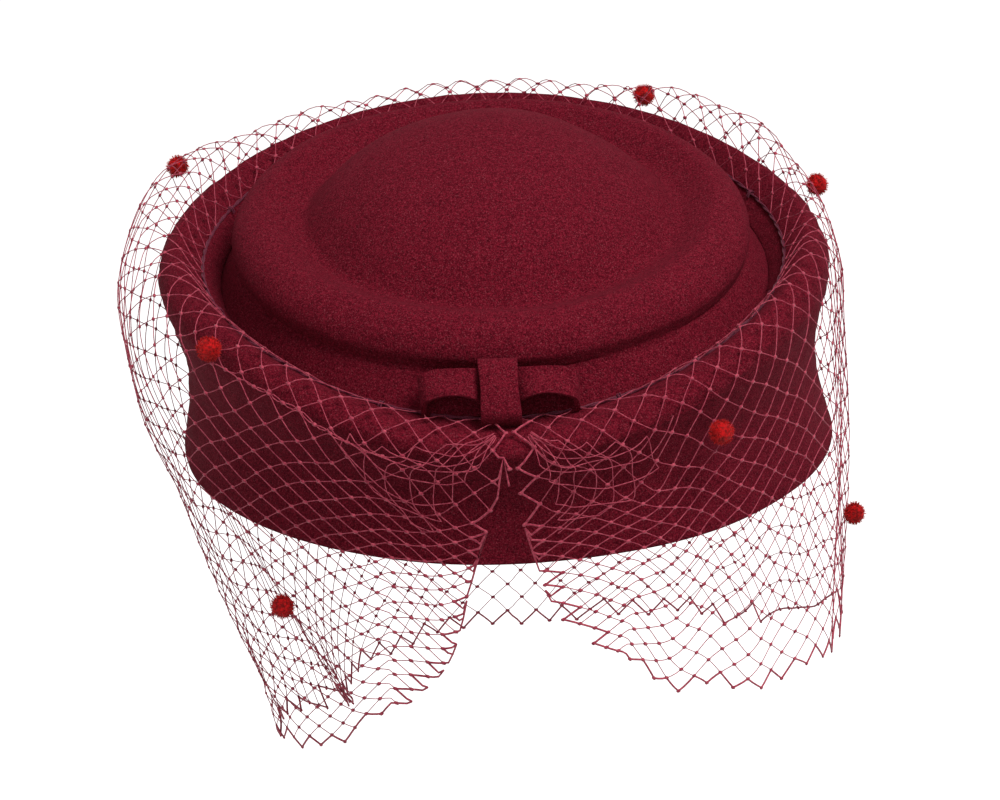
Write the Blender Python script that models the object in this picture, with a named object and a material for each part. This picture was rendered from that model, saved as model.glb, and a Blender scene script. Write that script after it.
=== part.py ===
"""Felt hat with a turned-up brim, a stepped crown, a felt bow and a dotted net veil.

Metres, +Z up. The wearer faces -Y. The origin is the middle of the head opening,
on the flat underside of the brim, so the hat sits on the head at Z = 0.
"""

import math

import bmesh
import bpy
from mathutils import Matrix, Vector

# --- felt ---------------------------------------------------------------------
FELT = 0.0025  # thickness of the blocked wool felt
GAP = 0.0003  # clearance between pieces that touch
TURNS = 40  # steps round the hat

# --- head opening and sweatband -------------------------------------------------
HEAD_HALF_WIDTH = 0.0840  # inside the sweatband, side to side (57 cm head size)
HEAD_HALF_LENGTH = 0.0970  # inside the sweatband, front to back
SWEATBAND_THICK = 0.0010
SWEATBAND_TALL = 0.0260
SWEATBAND_THREAD = 0.0007  # radius of the stitching line that holds the sweatband
SWEATBAND_CLEAR = 0.0020  # the crown stays upright this far above the sweatband
OVAL_FADE_SHARE = 0.706  # share of the height up to the band over which the oval becomes a circle

# --- crown ------------------------------------------------------------------------
CROWN_FULLNESS = 0.0060  # the crown's foot stands this far outside the longer head half
CROWN_FOOT_Z = 0.0620  # height of the hatband's lower edge, which the rim and dome follow
BAND_SLOPE_IN = 0.0085  # the slope under the hatband, from the crown's foot to the crease
BAND_SLOPE_RISE = 0.0135
RING_OUT = 0.0030  # the outer ring of the crown swells out this far past the crease
RING_RISE = 0.0165  # the ring's crest above the crease
GROOVE_IN = 0.0245  # the groove between ring and dome, inside the crease
GROOVE_DROP = 0.0055  # the groove below the ring's crest
DOME_RISE = 0.0265  # the dome above the ring's crest
CROWN_LEAN = 0.15  # rise of the crown towards the back, per metre

# --- brim ---------------------------------------------------------------------------
TROUGH = 0.0200  # from the crown's foot out to the crisp lower edge of the turned-up wall
WAIST_IN = 0.0055  # how far the wall draws in at its waist
BULGE_OUT = 0.0015  # how far it swells out under the rim
RIM_SIDE_RISE = 0.0170  # height of the rim above the crown's foot, at the sides and the back
RIM_BACK_RISE = 0.0365
RIM_FRONT_RISE = 0.00095  # the rim above the band's lower edge at the centre front

# --- hatband and bow ------------------------------------------------------------------
BAND_THICK = 0.0020
BAND_SPLIT_DEG = 1.2  # half the gap between the band's ends, under the bow
BOW_STRAP_WIDE = 0.0135
BOW_STRAP_THICK = 0.0018
BOW_LOOP_LONG = 0.0215
BOW_LOOP_TALL = 0.0130
BOW_LOOP_DEEP = 0.0068
BOW_FELT = 0.0018
BOW_LIFT = 0.0010  # how far the bow's back stands off the band
BOW_HEIGHT_SHARE = 0.62  # where the bow's middle lies between the band's foot and the crease

# --- veil --------------------------------------------------------------------------------
NET_THICK = 0.0008  # space that the net takes up, threads and knots together
NET_OFF_FELT = 0.0016
SPLIT_DEG = 2.5  # half the opening at the centre front
SIDE_SEAM_DEG = 57.0  # where the lifting front halves end
BACK_SEAM_DEG = 128.0
PANEL_GAP_DEG = 0.5
STANDOFF_LEFT = 0.0140  # how far the net stands off the brim at each side
STANDOFF_RIGHT = 0.0020
STANDOFF_BACK = 0.0060
LEFT_TUCK = 0.0440  # how far the net swings in under the left side at its hem
HEM_FRONT_Z = -0.0250
HEM_FALL = 0.1110  # further fall of the hem from front to back
HEM_DROOP_LEFT = 0.0200
HEM_DROOP_RIGHT = 0.0030
LIFT_AXIS_IN = 0.0045  # the lift axis lies inside the brim's widest part, just under its front rim
LIFT_AXIS_DROP = 0.0015
LIFT_AXIS_DEG = 30.0  # direction of the lift axis, from the centre front
LIFT_PANEL_BELOW = 0.0172  # the lifting panel starts this far under its axis
GATHER_THREAD_R = 0.0006
GATHER_IN = 0.0028  # the gathering thread lies this far inside the rim's edge
TACK_COUNT = 8
TACK_R = 0.0005

# --- chenille dots: degrees from the centre front (right is positive), and how far down the
# net each one lies, as a share of the way from the rim to the hem -----------------------
DOT_R = 0.0049
DOT_CLEAR = 0.0008
DOT_PLACES = (
    (-118.0, -0.015),
    (153.0, -0.003),
    (109.0, 0.017),
    (-52.0, 0.062),
    (36.0, 0.164),
    (80.0, 0.630),
    (-41.0, 0.627),
    (-122.0, 0.217),
    (-150.0, 0.531),
    (-172.0, 0.156),
    (170.0, 0.513),
    (134.0, 0.316),
)
LIFTING_DOT = 7  # this dot lies on the left front half of the net

# --- sizes that follow from those above ---------------------------------------------------
CROWN_FOOT_R = max(HEAD_HALF_LENGTH, HEAD_HALF_WIDTH) + CROWN_FULLNESS
CREASE_R = CROWN_FOOT_R - BAND_SLOPE_IN
CREASE_Z = CROWN_FOOT_Z + BAND_SLOPE_RISE
RING_R = CREASE_R + RING_OUT
GROOVE_R = CREASE_R - GROOVE_IN
DOME_Z = CREASE_Z + RING_RISE + DOME_RISE
BRIM_FOOT_R = CROWN_FOOT_R + TROUGH
WAIST_R = BRIM_FOOT_R - WAIST_IN
BULGE_R = BRIM_FOOT_R + BULGE_OUT
RIM_EDGE_R = CROWN_FOOT_R + BAND_THICK + GATHER_IN + GATHER_THREAD_R + 2 * GAP
RIM_SIDE_Z = CROWN_FOOT_Z + RIM_SIDE_RISE
RIM_BACK_Z = CROWN_FOOT_Z + RIM_BACK_RISE
RIM_FRONT_Z = CROWN_FOOT_Z - CROWN_LEAN * CROWN_FOOT_R + RIM_FRONT_RISE
LIFT_AXIS_Z = RIM_FRONT_Z - LIFT_AXIS_DROP


def material(name, colour, roughness, metallic=0.0):
    made = bpy.data.materials.new(name)
    made.use_nodes = True
    shader = made.node_tree.nodes["Principled BSDF"]
    shader.inputs["Base Color"].default_value = (*colour, 1.0)
    shader.inputs["Roughness"].default_value = roughness
    shader.inputs["Metallic"].default_value = metallic
    return made


def add_object(name, bm, finish, smooth=True):
    mesh = bpy.data.meshes.new(name)
    bmesh.ops.recalc_face_normals(bm, faces=bm.faces)
    bm.to_mesh(mesh)
    bm.free()
    if smooth:
        mesh.shade_smooth()
        mesh.set_sharp_from_angle(angle=math.radians(50))
    obj = bpy.data.objects.new(name, mesh)
    obj.data.materials.append(finish)
    bpy.context.scene.collection.objects.link(obj)
    return obj


def thicken(obj, thickness, offset):
    solid = obj.modifiers.new("Thickness", "SOLIDIFY")
    solid.thickness = thickness
    solid.offset = offset
    solid.use_rim = True
    solid.use_even_offset = True
    return obj


def turned(profile, steps=TURNS):
    """A profile of (radius, height) points spun once round Z."""
    bm = bmesh.new()
    verts = [bm.verts.new((r, 0, z)) for r, z in profile]
    edges = [bm.edges.new(pair) for pair in zip(verts, verts[1:])]
    bmesh.ops.spin(
        bm,
        geom=verts + edges,
        axis=(0, 0, 1),
        cent=(0, 0, 0),
        angle=math.tau,
        steps=steps,
        use_merge=True,
    )
    bmesh.ops.remove_doubles(bm, verts=bm.verts, dist=1e-6)
    return bm


def smoothstep(x):
    x = min(max(x, 0.0), 1.0)
    return x * x * (3 - 2 * x)


def rim_z(s):
    """Height of the rim where s is the sine of the direction: -1 front, 0 side, 1 back."""
    back = (RIM_BACK_Z - RIM_SIDE_Z) * (s + s * s) / 2
    front = (RIM_SIDE_Z - RIM_FRONT_Z) * max(0.0, -s) ** 4
    return RIM_SIDE_Z + back - front


def direction(degrees):
    """Unit vector on the ground, from the centre front round to +X, the wearer's left hand."""
    turn = math.radians(degrees)
    return Vector((math.sin(turn), -math.cos(turn), 0))


def upright_z():
    """Height to which the crown keeps the upright, oval shape of the head."""
    return SWEATBAND_TALL + SWEATBAND_CLEAR


def oval_fade():
    """Height over which the oval of the head becomes the crown's circle."""
    return (CROWN_FOOT_Z - upright_z()) * OVAL_FADE_SHARE


def lean(z):
    """The crown rises towards the back, fully so from the hatband upwards."""
    return CROWN_LEAN * min(max(z - upright_z(), 0.0) / (CROWN_FOOT_Z - upright_z()), 1.0)


def head_oval(inside, xy):
    """Radius of the head line in direction xy, offset outwards from the sweatband's inside."""
    a = HEAD_HALF_WIDTH + inside
    b = HEAD_HALF_LENGTH + inside
    return a * b / math.hypot(b * xy.x, a * xy.y)


def crown_inside_offset():
    return SWEATBAND_THICK + GAP


def warp_crown(bm):
    for vert in bm.verts:
        flat = Vector((vert.co.x, vert.co.y))
        z = vert.co.z
        if flat.length > 1e-6:
            way = flat.normalized()
            oval = head_oval(crown_inside_offset() + FELT, way)
            round_share = smoothstep((z - upright_z()) / oval_fade())
            radius = oval + (flat.length - oval) * round_share
            flat = way * radius
        vert.co = (flat.x, flat.y, z + lean(z) * flat.y)


def ring_crest_z():
    return CREASE_Z + RING_RISE


def crown_profile():
    crest = ring_crest_z()
    groove = crest - GROOVE_DROP
    mid_z = (groove + DOME_Z) / 2
    return (
        (CROWN_FOOT_R, FELT + GAP),
        (CROWN_FOOT_R, upright_z() * 0.5),
        (CROWN_FOOT_R, upright_z()),
        (CROWN_FOOT_R, upright_z() + oval_fade() * 0.33),
        (CROWN_FOOT_R, upright_z() + oval_fade() * 0.66),
        (CROWN_FOOT_R, upright_z() + oval_fade()),
        (CROWN_FOOT_R, CROWN_FOOT_Z),
        (CREASE_R, CREASE_Z),
        (RING_R - 0.0008, CREASE_Z + 0.0026),
        (RING_R, CREASE_Z + 0.0060),
        (RING_R - 0.0022, CREASE_Z + 0.0112),
        (RING_R - 0.0068, CREASE_Z + 0.0150),
        (RING_R - 0.0125, crest),
        (GROOVE_R + 0.0085, crest - 0.0020),
        (GROOVE_R, groove),
        (GROOVE_R - 0.0055, groove + 0.0040),
        (GROOVE_R * 0.80, mid_z - 0.0035),
        (GROOVE_R * 0.60, mid_z + 0.0060),
        (GROOVE_R * 0.36, DOME_Z - 0.0035),
        (GROOVE_R * 0.15, DOME_Z - 0.0005),
        (0.0, DOME_Z),
    )


def make_crown(felt):
    bm = turned(crown_profile())
    warp_crown(bm)
    return thicken(add_object("crown", bm, felt), FELT, -1)


def brim_profile():
    """From the head line out along the flat underside, up the wall and in over the rim.

    Heights above the flat part are shares of the rim's height in each direction.
    """
    head = HEAD_HALF_WIDTH
    return (
        (head, 0.0),
        ((head + BRIM_FOOT_R) / 2, 0.0),
        (BRIM_FOOT_R - 0.0020, 0.0),
        (BRIM_FOOT_R, 0.0012),
        (BRIM_FOOT_R - 0.0018, 0.085),
        (WAIST_R + 0.0012, 0.26),
        (WAIST_R, 0.44),
        (WAIST_R + 0.0022, 0.62),
        (BULGE_R - 0.0012, 0.79),
        (BULGE_R, 0.88),
        (BULGE_R - 0.0026, 0.955),
        (BULGE_R - 0.0072, 0.997),
        (RIM_EDGE_R, 0.985),
    )


def warp_brim(bm):
    """Heights over a hundredth are shares; the flat part's inner edge becomes the head oval."""
    inner = HEAD_HALF_WIDTH
    for vert in bm.verts:
        flat = Vector((vert.co.x, vert.co.y))
        way = flat.normalized()
        z = vert.co.z
        if z > 0.01:
            z *= rim_z(way.y)
        elif z < 0.001:
            oval = head_oval(crown_inside_offset(), way)
            share = (flat.length - inner) / (BRIM_FOOT_R - inner)
            flat = way * (oval + (BRIM_FOOT_R - oval) * share)
        vert.co = (flat.x, flat.y, z)


def make_brim(felt):
    bm = turned(brim_profile())
    warp_brim(bm)
    return thicken(add_object("brim", bm, felt), FELT, -1)


def make_sweatband(ribbon):
    bm = turned(((HEAD_HALF_WIDTH, GAP), (HEAD_HALF_WIDTH, SWEATBAND_TALL)))
    for vert in bm.verts:
        way = Vector((vert.co.x, vert.co.y)).normalized()
        flat = way * head_oval(SWEATBAND_THICK, way)
        vert.co = (flat.x, flat.y, vert.co.z)
    return thicken(add_object("sweatband", bm, ribbon), SWEATBAND_THICK, -1)


def tube_round(name, place, radius, finish, sides=6):
    """A closed ring of thread whose middle runs through place(direction)."""
    bm = bmesh.new()
    loops = []
    for step in range(TURNS):
        out = direction(step * 360.0 / TURNS)
        middle = place(out)
        loop = []
        for side in range(sides):
            turn = math.tau * side / sides
            offset = out * math.cos(turn) * radius
            loop.append(bm.verts.new(middle + offset + Vector((0, 0, math.sin(turn) * radius))))
        loops.append(loop)
    for a, b in zip(loops, loops[1:] + loops[:1]):
        for side in range(sides):
            after = (side + 1) % sides
            bm.faces.new((a[side], b[side], b[after], a[after]))
    return add_object(name, bm, finish)


def make_sweatband_stitching(thread):
    def place(out):
        inside = -SWEATBAND_THREAD - GAP
        way = Vector((out.x, out.y))
        return out * head_oval(inside, way) + Vector((0, 0, SWEATBAND_TALL - 0.003))

    return tube_round("sweatband_stitching", place, SWEATBAND_THREAD, thread)


def gather_place(out):
    radius = RIM_EDGE_R - GATHER_IN
    return out * radius + Vector((0, 0, rim_z(out.y) * 0.985 - 0.0016))


def make_gather_thread(thread):
    return tube_round("veil_gathering_thread", gather_place, GATHER_THREAD_R, thread)


def band_line():
    """The crown's slope under the hatband: its foot, its run and its outward normal."""
    foot = Vector((CROWN_FOOT_R, CROWN_FOOT_Z))
    run = Vector((CREASE_R, CREASE_Z)) - foot
    normal = Vector((run.y, -run.x)).normalized()
    return foot, run, normal


def on_band(degrees, share, off):
    """A point off the crown's slope: share 0 is the band's foot and 1 is the crease."""
    foot, run, normal = band_line()
    r, z = foot + run * share + normal * off
    flat = direction(degrees) * r
    return Vector((flat.x, flat.y, z + CROWN_LEAN * flat.y))


def make_hatband(felt):
    """A felt strip on the crown's slope, its two ends meeting under the bow."""
    bm = bmesh.new()
    rows = []
    span = 360.0 - 2 * BAND_SPLIT_DEG
    for step in range(TURNS + 1):
        degrees = BAND_SPLIT_DEG + span * step / TURNS
        rows.append([bm.verts.new(on_band(degrees, share, GAP)) for share in (0.01, 0.92)])
    for a, b in zip(rows, rows[1:]):
        bm.faces.new((a[0], b[0], b[1], a[1]))
    return thicken(add_object("hatband", bm, felt), BAND_THICK, 1)


def bow_frame():
    """The bow's middle and its right, up and out directions, square to the band."""
    middle = on_band(0.0, BOW_HEIGHT_SHARE, GAP + BAND_THICK + BOW_LIFT)
    up = (on_band(0.0, 1.0, 0.0) - on_band(0.0, 0.0, 0.0)).normalized()
    right = Vector((1, 0, 0))
    return middle, right, up, right.cross(up).normalized()


def strip_loop(name, outline, tall, felt):
    """A felt strip standing on edge, closed along an outline of (right, out) points."""
    middle, right, up, out = bow_frame()
    bm = bmesh.new()
    low = [bm.verts.new(middle + right * x + out * y - up * tall / 2) for x, y in outline]
    edges = [bm.edges.new(pair) for pair in zip(low, low[1:] + low[:1])]
    grown = bmesh.ops.extrude_edge_only(bm, edges=edges)["geom"]
    top = [part for part in grown if isinstance(part, bmesh.types.BMVert)]
    bmesh.ops.translate(bm, verts=top, vec=up * tall)
    return thicken(add_object(name, bm, felt), BOW_FELT, -1)


def make_bow_loop(name, side, felt):
    """A flattened ring of felt, rounded at its outer end and closed at the strap."""
    near = BOW_STRAP_WIDE / 2 + GAP
    far = near + BOW_LOOP_LONG
    deep = BOW_LOOP_DEEP
    turn_steps = 6
    outline = [(near, deep)]
    bend = deep / 2
    for step in range(turn_steps + 1):
        angle = math.pi / 2 - math.pi * step / turn_steps
        outline.append((far - bend + math.cos(angle) * bend, bend + math.sin(angle) * bend))
    outline.append((near, 0.0))
    return strip_loop(name, [(x * side, y) for x, y in outline], BOW_LOOP_TALL, felt)


def make_bow_strap(felt):
    """The centre strap: a strip over the front of the bow, bent back at both ends."""
    middle, right, up, out = bow_frame()
    half = BOW_LOOP_TALL / 2 + 0.0022
    front = BOW_LOOP_DEEP + GAP + BOW_STRAP_THICK
    line = (
        (-half - 0.0012, 0.0004),
        (-half - 0.0008, front * 0.60),
        (-half + 0.0010, front),
        (half - 0.0010, front + 0.0002),
        (half + 0.0006, front * 0.78),
        (half + 0.0010, RING_R - CREASE_R + BOW_STRAP_THICK + GAP),
    )
    bm = bmesh.new()
    pairs = []
    for high, deep in line:
        base = middle + up * high + out * deep
        pairs.append([bm.verts.new(base + right * BOW_STRAP_WIDE * k) for k in (-0.5, 0.5)])
    for a, b in zip(pairs, pairs[1:]):
        bm.faces.new((a[0], a[1], b[1], b[0]))
    return thicken(add_object("bow_centre_strap", bm, felt), BOW_STRAP_THICK, -1)


def standoff(degrees):
    """How far the net stands off the brim in each direction."""
    turn = math.radians(degrees)
    side = STANDOFF_RIGHT if degrees > 0 else STANDOFF_LEFT
    across = abs(math.sin(turn)) ** 2
    back = max(0.0, -math.cos(turn)) ** 2
    return side * across + STANDOFF_BACK * back * (1 - across)


def tuck(degrees, z):
    """How far the net swings in below the left side."""
    from_left = (degrees + 95.0) / 42.0
    return LEFT_TUCK * math.exp(-from_left * from_left) * max(0.0, 0.010 - z) / 0.110


def hem_z(degrees):
    turn = abs(degrees)
    fall = HEM_FALL * (turn / 180.0) ** 0.7
    sweep = (RIM_FRONT_Z - HEM_FRONT_Z) * math.exp(-turn / 4.0)
    if degrees < 0:
        droop = HEM_DROOP_LEFT * smoothstep(turn / 40.0) * smoothstep((180.0 - turn) / 60.0)
    else:
        droop = HEM_DROOP_RIGHT * smoothstep(turn / 90.0) * smoothstep((180.0 - turn) / 90.0)
    return HEM_FRONT_Z + sweep - fall - droop


def veil_rows(degrees):
    """The net's line down from the rim in one direction, as (radius, height) points."""
    rim = rim_z(direction(degrees).y)
    off = standoff(degrees)
    skin = BULGE_R + NET_OFF_FELT
    rows = [
        (BULGE_R - 0.0090, rim + 0.0012),
        (BULGE_R - 0.0030 + off * 0.3, rim + 0.0010 + off * 0.15),
        (skin + off * 0.8, rim * 0.88),
        (skin + off, rim * 0.62),
        (skin + off * 0.8, rim * 0.30),
    ]
    hem = hem_z(degrees)
    for step in range(6):
        z = min(rim * 0.05, hem * 0.05) + (hem - 0.05 * rim) * step / 5
        rows.append((skin + off * 0.4 - tuck(degrees, z), z))
    return rows


def row_point(degrees, radius, z):
    flat = direction(degrees) * radius
    return Vector((flat.x, flat.y, z))


def radius_at(degrees, z):
    """Radius of the net at a height, read off its line."""
    rows = veil_rows(degrees)[1:]
    for (r0, z0), (r1, z1) in zip(rows, rows[1:]):
        if z1 <= z <= z0:
            return r0 + (r1 - r0) * (z0 - z) / max(z0 - z1, 1e-9)
    return rows[0][0] if z > rows[0][1] else rows[-1][0]


def net_panel(name, start, end, line_at, net):
    steps = max(3, round((end - start) / 6.5))
    bm = bmesh.new()
    columns = []
    for step in range(steps + 1):
        degrees = start + (end - start) * step / steps
        columns.append([bm.verts.new(row_point(degrees, r, z)) for r, z in line_at(degrees)])
    for a, b in zip(columns, columns[1:]):
        for row in range(len(a) - 1):
            bm.faces.new((a[row], b[row], b[row + 1], a[row + 1]))
    return thicken(add_object(name, bm, net), NET_THICK, 1)


def lift_top():
    return LIFT_AXIS_Z - LIFT_PANEL_BELOW


def lift_pivot(name, side, moving):
    """An empty on the line that one front half of the net lifts about, with its pieces on it."""
    pivot = bpy.data.objects.new(name, None)
    pivot.location = direction(side * LIFT_AXIS_DEG) * (BULGE_R - LIFT_AXIS_IN)
    pivot.location.z = LIFT_AXIS_Z
    bpy.context.scene.collection.objects.link(pivot)
    for piece in moving:
        piece.parent = pivot
        piece.matrix_parent_inverse = Matrix.Translation(-pivot.location)


def yoke_line(degrees):
    """The part of the front net that stays on the brim's wall."""
    low = lift_top() + 0.0012
    rows = veil_rows(degrees)
    high = rows[1][1] - 0.0030
    heights = [high + (low - high) * step / 3 for step in range(4)]
    return rows[:2] + [(radius_at(degrees, z), z) for z in heights]


def lifting_line(degrees):
    """The part of the front net that lifts, from just under its axis to its hem."""
    top = lift_top()
    hem = min(hem_z(degrees), top - 0.006)
    heights = [top + (hem - top) * step / 6 for step in range(7)]
    return [(radius_at(degrees, z), z) for z in heights]


def make_veil(net):
    gap = PANEL_GAP_DEG
    net_panel("veil_left_side", -BACK_SEAM_DEG + gap, -SIDE_SEAM_DEG - gap, veil_rows, net)
    net_panel("veil_right_side", SIDE_SEAM_DEG + gap, BACK_SEAM_DEG - gap, veil_rows, net)
    net_panel("veil_back", BACK_SEAM_DEG, 360.0 - BACK_SEAM_DEG, back_line, net)
    net_panel("veil_yoke_left", -SIDE_SEAM_DEG, -SPLIT_DEG / 2, yoke_line, net)
    net_panel("veil_yoke_right", SPLIT_DEG / 2, SIDE_SEAM_DEG, yoke_line, net)
    left = net_panel("veil_front_left", -SIDE_SEAM_DEG, -SPLIT_DEG, lifting_line, net)
    right = net_panel("veil_front_right", SPLIT_DEG, SIDE_SEAM_DEG, lifting_line, net)
    return left, right


def back_line(degrees):
    return veil_rows(degrees if degrees <= 180.0 else degrees - 360.0)


def make_tacks(thread):
    """Short stitches that hold the gathered net to the rim's cut edge."""
    length = GATHER_IN - GATHER_THREAD_R - 2 * GAP
    for index in range(TACK_COUNT):
        out = direction(22.5 + index * 360.0 / TACK_COUNT)
        middle = gather_place(out) + out * (GATHER_THREAD_R + GAP + length / 2)
        bm = bmesh.new()
        bmesh.ops.create_cone(
            bm, cap_ends=True, segments=6, radius1=TACK_R, radius2=TACK_R, depth=length
        )
        bmesh.ops.rotate(bm, verts=bm.verts, matrix=out.to_track_quat("Z", "Y").to_matrix())
        bmesh.ops.translate(bm, verts=bm.verts, vec=middle)
        add_object(f"veil_tack_{index + 1}", bm, thread)


def net_outwards(degrees, z):
    """The net's outward (radius, height) direction at a height."""
    step = 0.003
    run = Vector((radius_at(degrees, z - step) - radius_at(degrees, z + step), -2 * step))
    return Vector((-run.y, run.x)).normalized()


def make_dots(chenille):
    dots = []
    for index, (degrees, share) in enumerate(DOT_PLACES, 1):
        rim = rim_z(direction(degrees).y)
        z = rim + (hem_z(degrees) - rim) * share
        net_point = Vector((radius_at(degrees, z), z))
        r, height = net_point + net_outwards(degrees, z) * (NET_THICK + DOT_CLEAR + DOT_R)
        bm = bmesh.new()
        bmesh.ops.create_icosphere(bm, subdivisions=2, radius=DOT_R)
        bmesh.ops.translate(bm, verts=bm.verts, vec=row_point(degrees, r, height))
        dots.append(add_object(f"chenille_dot_{index:02d}", bm, chenille))
    return dots


def main():
    for obj in list(bpy.data.objects):
        bpy.data.objects.remove(obj)
    felt = material("burgundy_wool_felt", (0.075, 0.006, 0.020), 0.95)
    ribbon = material("burgundy_grosgrain", (0.060, 0.006, 0.016), 0.70)
    thread = material("burgundy_thread", (0.180, 0.015, 0.040), 0.55)
    net = material("crimson_net", (0.300, 0.040, 0.080), 0.50)
    chenille = material("red_chenille", (0.500, 0.010, 0.012), 0.85)
    make_brim(felt)
    make_crown(felt)
    make_hatband(felt)
    make_bow_loop("bow_left_loop", -1, felt)
    make_bow_loop("bow_right_loop", 1, felt)
    make_bow_strap(felt)
    make_sweatband(ribbon)
    make_sweatband_stitching(thread)
    make_gather_thread(thread)
    veil_left, veil_right = make_veil(net)
    make_tacks(thread)
    dots = make_dots(chenille)
    lift_pivot("veil_left_lift", -1, [veil_left, dots[LIFTING_DOT - 1]])
    lift_pivot("veil_right_lift", 1, [veil_right])


main()
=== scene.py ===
# %% [markdown]
# # A veiled felt hat
#
# A pillbox shape in blocked wool felt: a stepped crown inside a high turned-up brim, a felt band
# and a flat felt bow at the front, and a net veil with chenille dots. The net is split at the
# centre front, so that each half can be lifted off the face.
#
# The solid model gives the sizes and what moves. This lesson makes the fine surface over it: felt
# with soft edges and fuzz, knotted net made thread by thread, dots made fibre by fibre.

import math
import random

import bmesh
import bpy
from mathutils import Matrix, Vector, noise


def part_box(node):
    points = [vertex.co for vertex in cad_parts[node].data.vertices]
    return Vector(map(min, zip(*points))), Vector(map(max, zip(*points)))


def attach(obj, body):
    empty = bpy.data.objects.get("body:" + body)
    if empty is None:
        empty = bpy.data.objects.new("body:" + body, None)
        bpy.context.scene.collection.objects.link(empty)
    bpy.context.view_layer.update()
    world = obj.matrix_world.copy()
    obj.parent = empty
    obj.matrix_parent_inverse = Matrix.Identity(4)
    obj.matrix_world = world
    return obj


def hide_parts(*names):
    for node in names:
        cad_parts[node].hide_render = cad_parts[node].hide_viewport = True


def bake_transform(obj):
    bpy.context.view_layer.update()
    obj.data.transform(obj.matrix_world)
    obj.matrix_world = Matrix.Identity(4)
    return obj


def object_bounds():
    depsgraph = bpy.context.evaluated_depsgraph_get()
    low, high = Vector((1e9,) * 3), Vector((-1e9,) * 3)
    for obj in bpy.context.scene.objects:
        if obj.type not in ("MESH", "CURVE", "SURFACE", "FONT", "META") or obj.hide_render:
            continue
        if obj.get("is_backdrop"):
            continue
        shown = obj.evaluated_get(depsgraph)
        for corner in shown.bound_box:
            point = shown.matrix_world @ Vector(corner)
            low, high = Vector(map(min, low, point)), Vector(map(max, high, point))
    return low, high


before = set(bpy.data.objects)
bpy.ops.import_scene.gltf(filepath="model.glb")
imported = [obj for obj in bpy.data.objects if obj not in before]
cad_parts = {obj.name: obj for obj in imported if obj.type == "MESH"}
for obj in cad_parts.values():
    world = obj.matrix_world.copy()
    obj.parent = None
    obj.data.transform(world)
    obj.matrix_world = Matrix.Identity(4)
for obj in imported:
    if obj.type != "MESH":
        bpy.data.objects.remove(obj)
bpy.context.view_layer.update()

# %% [markdown]
# ## Sizes
#
# The hat's own sizes, in metres, with +Z up and the wearer facing -Y. The fine pieces are turned
# from the same lines as the solid ones, so they fit inside each other in the same way. A hat maker
# would take these from the wooden block: the head line is an oval, and it becomes a circle on the
# way up to the band.

# %% Sizes of the felt
FELT = 0.0025
GAP = 0.0003
HEAD_HALF_WIDTH = 0.0840
HEAD_HALF_LENGTH = 0.0970
SWEATBAND_THICK = 0.0010
SWEATBAND_TALL = 0.0260
UPRIGHT_Z = 0.0280
OVAL_FADES_OVER = 0.0240
CROWN_FOOT = Vector((0.1030, 0.0620))
CREASE = Vector((0.0945, 0.0755))
RING_R = 0.0962
RING_CREST_Z = 0.0920
GROOVE_R = 0.0700
GROOVE_Z = 0.0865
DOME_Z = 0.1185
CROWN_LEAN = 0.15
SIDE_LEAN = 0.050
BRIM_FOOT_R = 0.1230
WAIST_R = 0.1175
BULGE_R = 0.1245
RIM_EDGE_R = 0.1090
RIM_SIDE_Z, RIM_BACK_Z, RIM_FRONT_Z = 0.0790, 0.0985, 0.0475


def smoothstep(x):
    x = min(max(x, 0.0), 1.0)
    return x * x * (3 - 2 * x)


def direction(degrees):
    """Unit vector on the ground, from the centre front round to +X."""
    turn = math.radians(degrees)
    return Vector((math.sin(turn), -math.cos(turn), 0))


def rim_z(s):
    """The rim's height where s is -1 at the front, 0 at a side and 1 at the back."""
    back = (RIM_BACK_Z - RIM_SIDE_Z) * (s + s * s) / 2
    return RIM_SIDE_Z + back - (RIM_SIDE_Z - RIM_FRONT_Z) * max(0.0, -s) ** 3


def settled(place):
    """The hat sits a little to one side: the higher a point is, the further it moves."""
    return Vector((place[0] - SIDE_LEAN * max(place[2], 0.0), place[1], place[2]))


def head_oval(inside, way):
    a, b = HEAD_HALF_WIDTH + inside, HEAD_HALF_LENGTH + inside
    return a * b / math.hypot(b * way.x, a * way.y)


print("brim", round(BULGE_R * 2000), "mm across, rim", RIM_FRONT_Z, "to", RIM_BACK_Z)

# %% [markdown]
# ## Lines and surfaces
#
# Every felt piece starts as a line of a few points. `through` draws a soft curve through them, as
# steam and a block would, and `turned` spins that line once round the hat. The spin is the same
# move as turning a block on a lathe. A Solidify modifier gives the felt its thickness, and a small
# Bevel rounds only the cut edges, because felt never has a knife edge.


# %% Helpers for lines, spins and pieces
def curve_point(a, b, c, d, t):
    """A point between b and c on the soft curve through all four."""
    return 0.5 * (
        2 * b + (c - a) * t + (2 * a - 5 * b + 4 * c - d) * t * t + (3 * b - a - 3 * c + d) * t**3
    )


def through(points, steps):
    """A soft curve through the points, with this many steps between each two."""
    points = [Vector(p) for p in points]
    ends = [points[0] * 2 - points[1], *points, points[-1] * 2 - points[-2]]
    made = []
    for a, b, c, d in zip(ends, ends[1:], ends[2:], ends[3:]):
        made += [curve_point(a, b, c, d, k / steps) for k in range(steps)]
    return [*made, points[-1]]


def straight(points, steps):
    points = [Vector(p) for p in points]
    made = [a.lerp(b, k / steps) for a, b in zip(points, points[1:]) for k in range(steps)]
    return [*made, points[-1]]


def turned(line, steps=144):
    """A line of (radius, height) points spun once round Z."""
    bm = bmesh.new()
    verts = [bm.verts.new((max(r, 0.0), 0, z)) for r, z in line]
    edges = [bm.edges.new(pair) for pair in zip(verts, verts[1:])]
    bmesh.ops.spin(
        bm, geom=verts + edges, axis=(0, 0, 1), cent=(0, 0, 0), angle=math.tau,
        steps=steps, use_merge=True,
    )
    bmesh.ops.remove_doubles(bm, verts=bm.verts, dist=1e-6)
    return bm


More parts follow.
